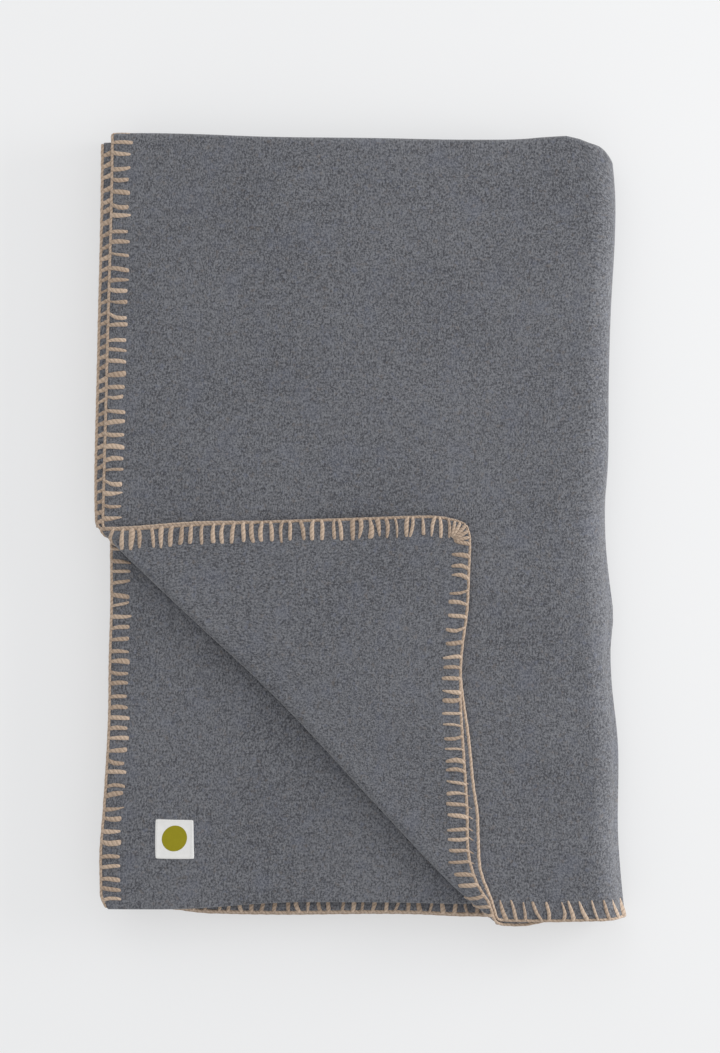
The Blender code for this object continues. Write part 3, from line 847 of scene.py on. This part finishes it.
def fibre_group():
    """Felted fibre: short streaks that cross one another, clouds, and flecks of other wools."""
    group, start, end = new_group(
        "felted_fibre",
        [("Vector", "NodeSocketVector", None)],
        [
            ("Tone", "NodeSocketFloat"),
            ("Blue Fleck", "NodeSocketFloat"),
            ("Brown Fleck", "NodeSocketFloat"),
            ("Height", "NodeSocketFloat"),
        ],
    )
    vector = start.outputs["Vector"]
    streaks = []
    for number, (turn, stretch) in enumerate(((0.5, 3.0), (-0.9, 2.6), (1.9, 2.2))):
        mapping = node(group, "ShaderNodeMapping", (-1000, 300 - 220 * number))
        mapping.inputs["Rotation"].default_value = (0, 0, turn)
        mapping.inputs["Scale"].default_value = (stretch, 1.0, 1.0)
        mapping.inputs["Location"].default_value = (0.31 * number, 0.17 * number, 0)
        group.links.new(vector, mapping.inputs["Vector"])
        place = (-780, 300 - 220 * number)
        streaks.append(noise(group, mapping.outputs[0], 420, 4.0, 0.72, place, 2.2, 0.6))
    fibres = math_node(group, "ADD", streaks[0], streaks[1], (-560, 200))
    fibres = math_node(group, "ADD", fibres, streaks[2], (-420, 200))
    fibres = math_node(group, "MULTIPLY", fibres, 0.3333, (-280, 200))
    clouds = noise(group, vector, 190, 3.0, 0.6, (-780, -400))
    drift = noise(group, vector, 14, 3.0, 0.55, (-780, -620))
    fine = noise(group, vector, 760, 3.0, 0.7, (-780, -840))
    tone = math_node(group, "MULTIPLY", fibres, 2.4, (-100, 200))
    tone = add_share(group, tone, clouds, 0.45, (0, 100))
    tone = add_share(group, tone, drift, 0.22, (160, 100))
    tone = add_share(group, tone, fine, 1.5, (320, 100))
    group.links.new(tone, end.inputs["Tone"])
    patches = ramp(group, noise(group, vector, 42, 3.0, 0.6, (-780, -1500)), 0.50, 0.72, (-560, -1500))
    blue = ramp(group, noise(group, vector, 240, 2.0, 0.5, (-780, -1060)), 0.58, 0.72, (-560, -1060))
    patches = math_node(group, "MULTIPLY", patches, 0.6, (-480, -1500))
    blue = math_node(group, "MAXIMUM", blue, patches, (-400, -1060))
    shifted = node(group, "ShaderNodeVectorMath", (-1000, -1280), operation="ADD")
    shifted.inputs[1].default_value = (4.1, 2.3, 0.7)
    group.links.new(vector, shifted.inputs[0])
    brown = noise(group, shifted.outputs[0], 250, 2.0, 0.5, (-780, -1280))
    brown = ramp(group, brown, 0.58, 0.72, (-560, -1280))
    group.links.new(blue, end.inputs["Blue Fleck"])
    group.links.new(brown, end.inputs["Brown Fleck"])
    height = add_share(group, fibres, fine, 0.45, (300, -300))
    group.links.new(height, end.inputs["Height"])
    return group


def twist_group():
    """Two-ply yarn: a groove that winds round it twice, with loose fibre over both plies."""
    group, start, end = new_group(
        "two_ply_twist",
        [("Vector", "NodeSocketVector", None), ("Lay", "NodeSocketFloat", 5.6 * MM)],
        [("Groove", "NodeSocketFloat"), ("Fibre", "NodeSocketFloat"), ("Strand", "NodeSocketFloat")],
    )
    split = node(group, "ShaderNodeSeparateXYZ", (-1000, 0))
    group.links.new(start.outputs["Vector"], split.inputs[0])
    along = math_node(group, "DIVIDE", split.outputs["Y"], start.outputs["Lay"], (-820, -80))
    wound = math_node(group, "ADD", along, split.outputs["X"], (-660, 0))
    turns = math_node(group, "MULTIPLY", wound, 4 * PI, (-500, 0))
    wave = math_node(group, "COSINE", turns, 0.0, (-340, 0))
    groove = ramp(group, wave, -1.0, 0.3, (-180, 0))
    group.links.new(groove, end.inputs["Groove"])
    spread = node(group, "ShaderNodeCombineXYZ", (-820, -300))
    group.links.new(math_node(group, "MULTIPLY", wound, 3.0, (-980, -300)), spread.inputs["X"])
    across = math_node(group, "MULTIPLY", split.outputs["Y"], 160.0, (-980, -420))
    group.links.new(across, spread.inputs["Y"])
    fibre = noise(group, spread.outputs[0], 3.0, 3.0, 0.7, (-640, -300))
    group.links.new(fibre, end.inputs["Fibre"])
    which = math_node(group, "FLOOR", split.outputs["X"], 0.0, (-820, -560))
    white = node(group, "ShaderNodeTexWhiteNoise", (-640, -560), noise_dimensions="1D")
    group.links.new(which, white.inputs["W"])
    group.links.new(white.outputs["Value"], end.inputs["Strand"])
    return group


def new_material(name, rough, sheen, sheen_rough):
    """A Principled material and its tree, shader and flat coordinates."""
    material = bpy.data.materials.new(name)
    material.use_nodes = True
    tree = material.node_tree
    shader = tree.nodes["Principled BSDF"]
    shader.inputs["Roughness"].default_value = rough
    shader.inputs["Specular IOR Level"].default_value = 0.15
    shader.inputs["Sheen Weight"].default_value = sheen
    shader.inputs["Sheen Roughness"].default_value = sheen_rough
    flat = node(tree, "ShaderNodeUVMap", (-1400, 0), uv_map="flat")
    return material, tree, shader, flat.outputs["UV"]


def add_bump(tree, shader, height, distance, strength):
    """Height to the shader's normal."""
    bump = node(tree, "ShaderNodeBump", (-260, -300))
    bump.inputs["Distance"].default_value = distance
    bump.inputs["Strength"].default_value = strength
    tree.links.new(height, bump.inputs["Height"])
    tree.links.new(bump.outputs["Normal"], shader.inputs["Normal"])


def felt_material(base, light):
    """Heathered felt: dark and light wool mixed, with a few blue and brown fibres."""
    material, tree, shader, flat = new_material("felt_heather", 0.95, 0.30, 0.55)
    fibre = node(tree, "ShaderNodeGroup", (-1100, 0), node_tree=fibre_group())
    tree.links.new(flat, fibre.inputs["Vector"])
    factor = ramp(tree, fibre.outputs["Tone"], 1.96, 2.62, (-860, 0))
    colour = mix_colour(tree, factor, base, light, (-680, 0))
    blue = math_node(tree, "MULTIPLY", fibre.outputs["Blue Fleck"], 0.34, (-860, -260))
    colour = mix_colour(tree, blue, colour, (0.155, 0.17, 0.225), (-500, 0))
    brown = math_node(tree, "MULTIPLY", fibre.outputs["Brown Fleck"], 0.30, (-860, -420))
    colour = mix_colour(tree, brown, colour, (0.165, 0.135, 0.115), (-320, 0))
    tree.links.new(colour, shader.inputs["Base Color"])
    add_bump(tree, shader, fibre.outputs["Height"], 0.9 * MM, 0.55)
    return material


def yarn_material(base, light):
    """Soft two-ply yarn with painted shade down in its groove, each stitch a little different."""
    material, tree, shader, flat = new_material("yarn_two_ply", 0.92, 0.30, 0.5)
    twist = node(tree, "ShaderNodeGroup", (-1100, 0), node_tree=twist_group())
    tree.links.new(flat, twist.inputs["Vector"])
    tone = math_node(tree, "MULTIPLY", twist.outputs["Fibre"], 0.9, (-860, 0))
    # Painted shade: the yarn's colour is drawn darker down in its twist's groove.
    tone = add_share(tree, tone, twist.outputs["Groove"], 0.22, (-700, 0))
    tone = add_share(tree, tone, twist.outputs["Strand"], 0.30, (-560, 0))
    factor = ramp(tree, tone, 0.30, 1.25, (-420, 0))
    colour = mix_colour(tree, factor, base, light, (-240, 0))
    tree.links.new(colour, shader.inputs["Base Color"])
    groove = math_node(tree, "MULTIPLY", twist.outputs["Groove"], 0.5, (-700, -400))
    height = math_node(tree, "ADD", groove, twist.outputs["Fibre"], (-560, -400))
    add_bump(tree, shader, height, 0.5 * MM, 0.8)
    return material


def weave_material(name, base, rough, scale):
    """A close woven tape: warp and weft as crossed waves, a little uneven."""
    material, tree, shader, flat = new_material(name, rough, 0.05, 0.5)
    split = node(tree, "ShaderNodeSeparateXYZ", (-1200, 0))
    tree.links.new(flat, split.inputs[0])
    warp = math_node(tree, "MULTIPLY", split.outputs["X"], scale, (-1040, 0))
    warp = math_node(tree, "SINE", warp, 0.0, (-900, 0))
    weft = math_node(tree, "MULTIPLY", split.outputs["Y"], scale, (-1040, -160))
    weft = math_node(tree, "SINE", weft, 0.0, (-900, -160))
    weave = math_node(tree, "MULTIPLY", warp, weft, (-740, -60))
    uneven = noise(tree, flat, 260, 3.0, 0.6, (-900, -340))
    tone = add_share(tree, uneven, weave, 0.2, (-440, -60))
    factor = ramp(tree, tone, 0.1, 0.9, (-300, 0))
    darker = tuple(0.9 * c for c in base)
    colour = mix_colour(tree, factor, darker, base, (-140, 0))
    tree.links.new(colour, shader.inputs["Base Color"])
    add_bump(tree, shader, weave, 0.05 * MM, 0.4)
    return material


def floor_material(base):
    """A pale light table: matt, with the faintest unevenness, and lit a little from below."""
    material = bpy.data.materials.new("pale_floor")
    material.use_nodes = True
    tree = material.node_tree
    shader = tree.nodes["Principled BSDF"]
    shader.inputs["Roughness"].default_value = 0.9
    shader.inputs["Specular IOR Level"].default_value = 0.1
    place = node(tree, "ShaderNodeTexCoord", (-900, 0)).outputs["Object"]
    factor = noise(tree, place, 3.0, 2.0, 0.5, (-700, 0))
    colour = mix_colour(tree, factor, tuple(0.985 * c for c in base), base, (-400, 0))
    tree.links.new(colour, shader.inputs["Base Color"])
    shader.inputs["Emission Color"].default_value = (0.985, 0.99, 1.0, 1.0)
    shader.inputs["Emission Strength"].default_value = 0.49
    return material


def material_named(name, make):
    """The material of this name, made the first time it is asked for."""
    return bpy.data.materials.get(name) or make()


# ---------------------------------------------------------------- settings and operators


class BlanketColours(bpy.types.PropertyGroup):
    """The colours of the wool, the yarn, the label and the table."""

    wool_dark: FloatVectorProperty(
        name="Dark wool", description="The darker wool of the heather", subtype="COLOR",
        default=(0.052, 0.053, 0.062), min=0.0, max=1.0,
    )
    wool_light: FloatVectorProperty(
        name="Light wool", description="The lighter wool of the heather", subtype="COLOR",
        default=(0.205, 0.209, 0.226), min=0.0, max=1.0,
    )
    yarn_dark: FloatVectorProperty(
        name="Yarn shade", description="The edging yarn down in its twist", subtype="COLOR",
        default=(0.31, 0.225, 0.165), min=0.0, max=1.0,
    )
    yarn_light: FloatVectorProperty(
        name="Yarn", description="The edging yarn in the light", subtype="COLOR",
        default=(0.69, 0.535, 0.41), min=0.0, max=1.0,
    )
    label: FloatVectorProperty(
        name="Label", description="The label's tape", subtype="COLOR",
        default=(0.84, 0.83, 0.81), min=0.0, max=1.0,
    )
    disc: FloatVectorProperty(
        name="Disc", description="The plain disc on the label", subtype="COLOR",
        default=(0.31, 0.27, 0.012), min=0.0, max=1.0,
    )
    floor: FloatVectorProperty(
        name="Floor", description="The table under the blanket", subtype="COLOR",
        default=(0.40, 0.40, 0.40), min=0.0, max=1.0,
    )


class BlanketSizes(bpy.types.PropertyGroup):
    """The sizes of the label and the view."""

    label_side: FloatProperty(
        name="Label side", description="Side of the square label", default=25.4 * MM, unit="LENGTH",
    )
    label_disc: FloatProperty(
        name="Disc", description="Diameter of the label's disc", default=16.7 * MM, unit="LENGTH",
    )
    label_x: FloatProperty(
        name="Label across", description="The label's middle from the long edge",
        default=47.0 * MM, unit="LENGTH",
    )
    label_y: FloatProperty(
        name="Label along", description="The label's middle from the front fold's start",
        default=42.2 * MM, unit="LENGTH",
    )
    lens: FloatProperty(
        name="Lens", description="The camera's focal length in millimetres", default=100.0,
    )
    view_height: FloatProperty(
        name="View height", description="What the camera takes in, front to back",
        default=0.6823, unit="LENGTH",
    )


class OBJECT_OT_blanket_felt(bpy.types.Operator):
    """Make the folded sheet of felt"""

    bl_idname = "blanket.felt"
    bl_label = "Folded felt"

    def execute(self, context):
        colours = context.scene.blanket_colours
        felt = material_named(
            "felt_heather", lambda: felt_material(colours.wool_dark, colours.wool_light)
        )
        cloth = make_stack_cloth()
        cloth.data.materials.append(felt)
        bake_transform(cloth)
        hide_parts("lower_half_cloth", "inner_leaf_cloth", "top_leaf_cloth")
        return {"FINISHED"}


class OBJECT_OT_blanket_corner(bpy.types.Operator):
    """Make the two layers of the turned corner, bent over its crease"""

    bl_idname = "blanket.corner"
    bl_label = "Turned corner"

    def execute(self, context):
        colours = context.scene.blanket_colours
        felt = material_named(
            "felt_heather", lambda: felt_material(colours.wool_dark, colours.wool_light)
        )
        for name, second in (("corner_felt_first", False), ("corner_felt_second", True)):
            cloth = make_corner_cloth(name, second)
            cloth.data.materials.append(felt)
            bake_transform(cloth)
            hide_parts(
                "turned_corner_second_layer" if second else "turned_corner_first_layer"
            )
        return {"FINISHED"}


class OBJECT_OT_blanket_edging(bpy.types.Operator):
    """Make the blanket stitch along all four edges"""

    bl_idname = "blanket.edging"
    bl_label = "Edging"

    def execute(self, context):
        colours = context.scene.blanket_colours
        yarn = material_named(
            "yarn_two_ply", lambda: yarn_material(colours.yarn_dark, colours.yarn_light)
        )
        upper, under, corner, side_fold, crease = make_edging()
        for piece in (upper, under, corner, side_fold, crease):
            piece.data.materials.append(yarn)
        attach(upper, UPPER)
        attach(under, UNDER)
        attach(corner, FLAP)
        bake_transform(side_fold)
        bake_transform(crease)
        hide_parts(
            "long_edge_yarn_top", "long_edge_yarn_inner", "first_short_edge_yarn_top",
            "second_short_edge_yarn_top", "first_short_edge_yarn_inner",
            "second_short_edge_yarn_inner",
        )
        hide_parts("first_short_edge_yarn_lower", "second_short_edge_yarn_lower")
        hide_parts("turned_corner_first_yarn", "turned_corner_second_yarn")
        return {"FINISHED"}


class OBJECT_OT_blanket_label(bpy.types.Operator):
    """Make the label with its plain disc and its sewing"""

    bl_idname = "blanket.label"
    bl_label = "Label"

    def execute(self, context):
        colours, sizes = context.scene.blanket_colours, context.scene.blanket_sizes
        tape = material_named(
            "tape_white", lambda: weave_material("tape_white", colours.label, TAPE_ROUGH, TAPE_WAVE)
        )
        olive = material_named(
            "tape_olive", lambda: weave_material("tape_olive", colours.disc, TAPE_ROUGH, TAPE_WAVE)
        )
        u0, v0 = sizes.label_x, V2_START + sizes.label_y
        # A square whose corners are drawn in, with a hem that stands a little proud.
        t = np.concatenate([[-1, -0.97, -0.9, -0.86], np.linspace(-0.7, 0.7, 8), [0.86, 0.9, 0.97, 1]])
        a, b = (g.ravel() for g in np.meshgrid(t, t, indexing="ij"))
        corner = (np.abs(a) * np.abs(b)) ** 12 * 0.022
        reach = np.maximum(np.abs(a), np.abs(b))
        a, b = a * (1 - corner), b * (1 - corner)
        # It is sewn on a little askew, and is drawn out a little across.
        a, b = a - 0.055 * b, 0.955 * (b - 0.034 * a)
        half = sizes.label_side / 2
        top = HALF + 0.55 * MM + 0.10 * MM * smooth((reach - 0.84) / 0.06)
        top = top - 0.28 * MM * smooth((reach - 0.965) / 0.035)
        low = np.full_like(top, HALF - 0.10 * MM)
        faces = [grid_faces(len(t), len(t))]
        patch = slab("label_patch_woven", u0 + half * a, v0 + half * b, low, top, faces)
        patch.data.materials.append(tape)
        ring = np.concatenate([np.linspace(0.02, 0.94, 6), [0.98, 1.0]])
        turn = 2 * PI * np.arange(64) / 64
        r, w = (g.ravel() for g in np.meshgrid(ring, turn, indexing="ij"))
        i, j = np.meshgrid(np.arange(len(ring) - 1), np.arange(64), indexing="ij")
        here, after = i * 64 + j, i * 64 + (j + 1) % 64
        quads = np.stack([here, here + 64, after + 64, after], -1).reshape(-1, 4)
        middle = np.arange(64)[None, :]
        radius = sizes.label_disc / 2
        face = HALF + 0.55 * MM
        top = face + 0.07 * MM - 0.05 * MM * smooth((r - 0.97) / 0.03)
        disc = slab(
            "label_disc_woven", u0 + radius * r * np.cos(w),
            v0 + 0.6 * MM + 0.955 * radius * r * np.sin(w),
            np.full_like(top, face - 0.1 * MM), top, [quads, middle],
        )
        disc.data.materials.append(olive)
        for piece, node_name, slot_name in (
            (patch, "label_patch", "label_white"), (disc, "label_disc", "label_olive"),
        ):
            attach(piece, UPPER)
            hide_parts(node_name)
        self.sew(u0, v0, half, tape)
        return {"FINISHED"}

    def sew(self, u0, v0, half, tape):
        """Small stitches round the label: arches with both ends down in the tape."""
        inset = half - 1.25 * MM
        count = 11
        place = (np.arange(count) + 0.5) / count * 2 - 1
        length = 0.62 * inset / count
        t = np.linspace(-1, 1, 5)
        along = place[:, None] * inset + length * t
        rise = HALF + 0.55 * MM + 0.16 * MM * (1 - t**2) - 0.05 * MM
        across = np.zeros_like(along)
        parts = []
        for turn in range(4):
            c, s = round(math.cos(turn * PI / 2)), round(math.sin(turn * PI / 2))
            x, y = along, across + inset
            paths = np.stack(
                [u0 + c * x - s * y, v0 + s * x + c * y, rise + 0 * along], -1
            )
            side = np.zeros(paths.shape) + np.array([-s, c, 0.0])
            flat = np.full(along.shape, 0.17 * MM)
            parts.append(tubes(paths, side, flat, flat, 6, turn * count + np.arange(count)))
        points, faces, uvs = join(parts)
        thread = make_piece("label_thread", fold(*points.T), faces, uvs)
        thread.data.materials.append(tape)
        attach(thread, UPPER)


class OBJECT_OT_blanket_stage(bpy.types.Operator):
    """Set the floor, the soft light and the camera straight above"""

    bl_idname = "blanket.stage"
    bl_label = "Stage"

    def execute(self, context):
        scene, sizes = context.scene, context.scene.blanket_sizes
        floor = bpy.data.meshes.new("floor")
        floor.from_pydata([(-4, -4, 0), (4, -4, 0), (4, 4, 0), (-4, 4, 0)], [], [(0, 1, 2, 3)])
        table = bpy.data.objects.new("floor", floor)
        scene.collection.objects.link(table)
        floor.materials.append(floor_material(scene.blanket_colours.floor))
        world = bpy.data.worlds.new("studio")
        world.use_nodes = True
        world.node_tree.nodes["Background"].inputs["Color"].default_value = (0.98, 0.99, 1.0, 1.0)
        world.node_tree.nodes["Background"].inputs["Strength"].default_value = 0.74
        scene.world = world
        for name, place, size, power in (
            ("rim_right", (1.45, 0.25, 0.38), 0.8, 17.0),
            ("fill_back", (-0.5, 1.6, 1.3), 1.4, 5.0),
        ):
            lamp = bpy.data.lights.new(name, "AREA")
            lamp.size = size
            lamp.energy = power
            light = bpy.data.objects.new(name, lamp)
            light.location = place
            aim = -light.location
            light.rotation_euler = aim.to_track_quat("-Z", "Y").to_euler()
            scene.collection.objects.link(light)
        camera = bpy.data.cameras.new("camera")
        camera.lens = sizes.lens
        camera.sensor_fit = "VERTICAL"
        camera.sensor_height = 36.0
        eye = bpy.data.objects.new("camera", camera)
        distance = sizes.lens * sizes.view_height / camera.sensor_height
        eye.location = (0.65 * MM, 1.6 * MM, 34.0 * MM + distance)
        scene.collection.objects.link(eye)
        scene.camera = eye
        scene.view_settings.view_transform = "Standard"
        return {"FINISHED"}


class VIEW3D_PT_blanket(bpy.types.Panel):
    """Everything the blanket is made of"""

    bl_label = "Folded blanket"
    bl_space_type = "VIEW_3D"
    bl_region_type = "UI"
    bl_category = "Blanket"

    def draw(self, context):
        column = self.layout.column()
        for maker in MAKERS:
            column.operator(maker.bl_idname)
        for settings in (context.scene.blanket_colours, context.scene.blanket_sizes):
            for name in settings.__annotations__:
                column.prop(settings, name)


MAKERS = (
    OBJECT_OT_blanket_felt,
    OBJECT_OT_blanket_corner,
    OBJECT_OT_blanket_edging,
    OBJECT_OT_blanket_label,
    OBJECT_OT_blanket_stage,
)
CLASSES = (BlanketColours, BlanketSizes, *MAKERS, VIEW3D_PT_blanket)


def register():
    for item in CLASSES:
        bpy.utils.register_class(item)
    bpy.types.Scene.blanket_colours = PointerProperty(type=BlanketColours)
    bpy.types.Scene.blanket_sizes = PointerProperty(type=BlanketSizes)


def unregister():
    del bpy.types.Scene.blanket_sizes
    del bpy.types.Scene.blanket_colours
    for item in reversed(CLASSES):
        bpy.utils.unregister_class(item)


def main():
    register()
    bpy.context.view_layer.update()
    bpy.ops.blanket.stage()
    bpy.ops.blanket.felt()
    bpy.ops.blanket.corner()
    bpy.ops.blanket.edging()
    bpy.ops.blanket.label()


if __name__ == "__main__":
    main()
